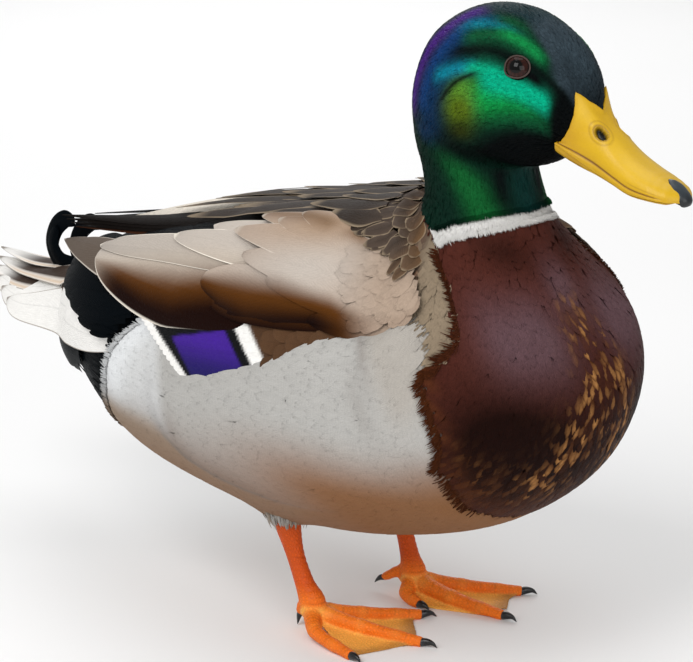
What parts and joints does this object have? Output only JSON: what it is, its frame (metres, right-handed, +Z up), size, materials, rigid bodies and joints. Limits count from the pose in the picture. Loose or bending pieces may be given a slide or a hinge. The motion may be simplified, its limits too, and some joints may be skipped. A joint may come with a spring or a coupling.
{
  "type": "mallard drake",
  "caption": "Mallard drake standing still, life size: green head, chestnut breast, grey flanks, folded wings, webbed feet.",
  "frame": {"origin": "on the floor under the middle of the bird's length and width", "axes": "+X the way the bird faces, +Y its left side, +Z up"},
  "size_m": [0.3818, 0.1394, 0.2623],
  "materials": {
    "head_feathers": "glossy green plumage",
    "neck_feathers": "glossy green plumage",
    "breast_feathers": "chestnut plumage",
    "body_feathers": "pale grey plumage",
    "rump_feathers": "black plumage with a blue gloss",
    "bill_horn": "smooth yellow horn",
    "nail_horn": "smooth slate horn",
    "tail_feathers": "white and grey-brown vanes",
    "eye": "wet dark eye",
    "leg_skin": "orange scaled skin",
    "claw_horn": "dark claw",
    "wing_feathers": "grey-brown vanes",
    "speculum_feathers": "violet vanes edged black and white",
    "flank_feathers": "finely barred grey plumage"
  },
  "bodies": {
    "root": {"head": "head_feathers", "neck": "neck_feathers", "breast": "breast_feathers", "trunk": "body_feathers", "rump": "rump_feathers", "bill_upper": "bill_horn", "bill_lower": "bill_horn", "bill_nail": "nail_horn", "tail": "tail_feathers", "eye_R": "eye", "thigh_R": "body_feathers", "shank_R": "leg_skin", "foot_R": "leg_skin", "claw_inner_R": "claw_horn", "claw_middle_R": "claw_horn", "claw_outer_R": "claw_horn", "claw_hind_R": "claw_horn", "scapulars_R": "wing_feathers", "tertials_R": "wing_feathers", "coverts_R": "wing_feathers", "primaries_R": "wing_feathers", "secondaries_R": "speculum_feathers", "flank_R": "flank_feathers", "curl_R": "rump_feathers", "eye_L": "eye", "thigh_L": "body_feathers", "shank_L": "leg_skin", "foot_L": "leg_skin", "claw_inner_L": "claw_horn", "claw_middle_L": "claw_horn", "claw_outer_L": "claw_horn", "claw_hind_L": "claw_horn", "scapulars_L": "wing_feathers", "tertials_L": "wing_feathers", "coverts_L": "wing_feathers", "primaries_L": "wing_feathers", "secondaries_L": "speculum_feathers", "flank_L": "flank_feathers", "curl_L": "rump_feathers"}
  },
  "joints": []
}
